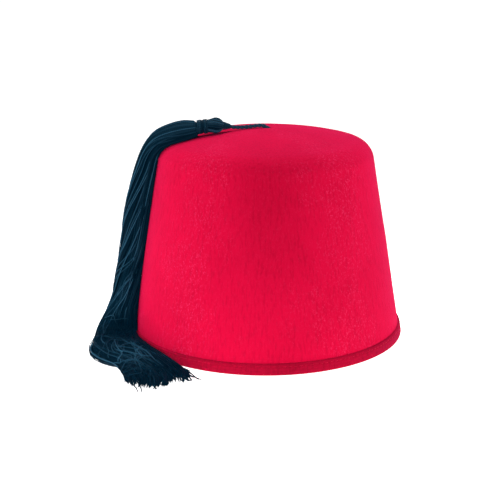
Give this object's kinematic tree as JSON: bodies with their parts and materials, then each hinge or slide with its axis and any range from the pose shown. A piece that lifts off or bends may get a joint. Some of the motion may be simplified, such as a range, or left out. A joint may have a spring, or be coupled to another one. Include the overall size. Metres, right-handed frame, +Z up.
{
  "type": "fez hat",
  "caption": "Red felt fez with a domed top and a bound rim, and a dark blue tassel on a short cord that hangs over one side and fans out on the surface below.",
  "frame": {"origin": "centre of the rim binding's underside, on the surface that the hat stands on", "axes": "+Z up along the crown's axis, -Y towards the viewer, -X towards the side that the tassel hangs on"},
  "size_m": [0.2128, 0.2155, 0.1507],
  "materials": {
    "red_felt": "matt wool felt",
    "red_binding": "matt felt strip, a darker red",
    "blue_thread": "silky twisted thread"
  },
  "bodies": {
    "root": {"crown": "red_felt", "rim_binding": "red_binding", "tassel_cord": "blue_thread", "cord_knot": "blue_thread", "tassel_head": "blue_thread", "neck_winding": "blue_thread", "tassel_skirt": "blue_thread"}
  },
  "joints": []
}
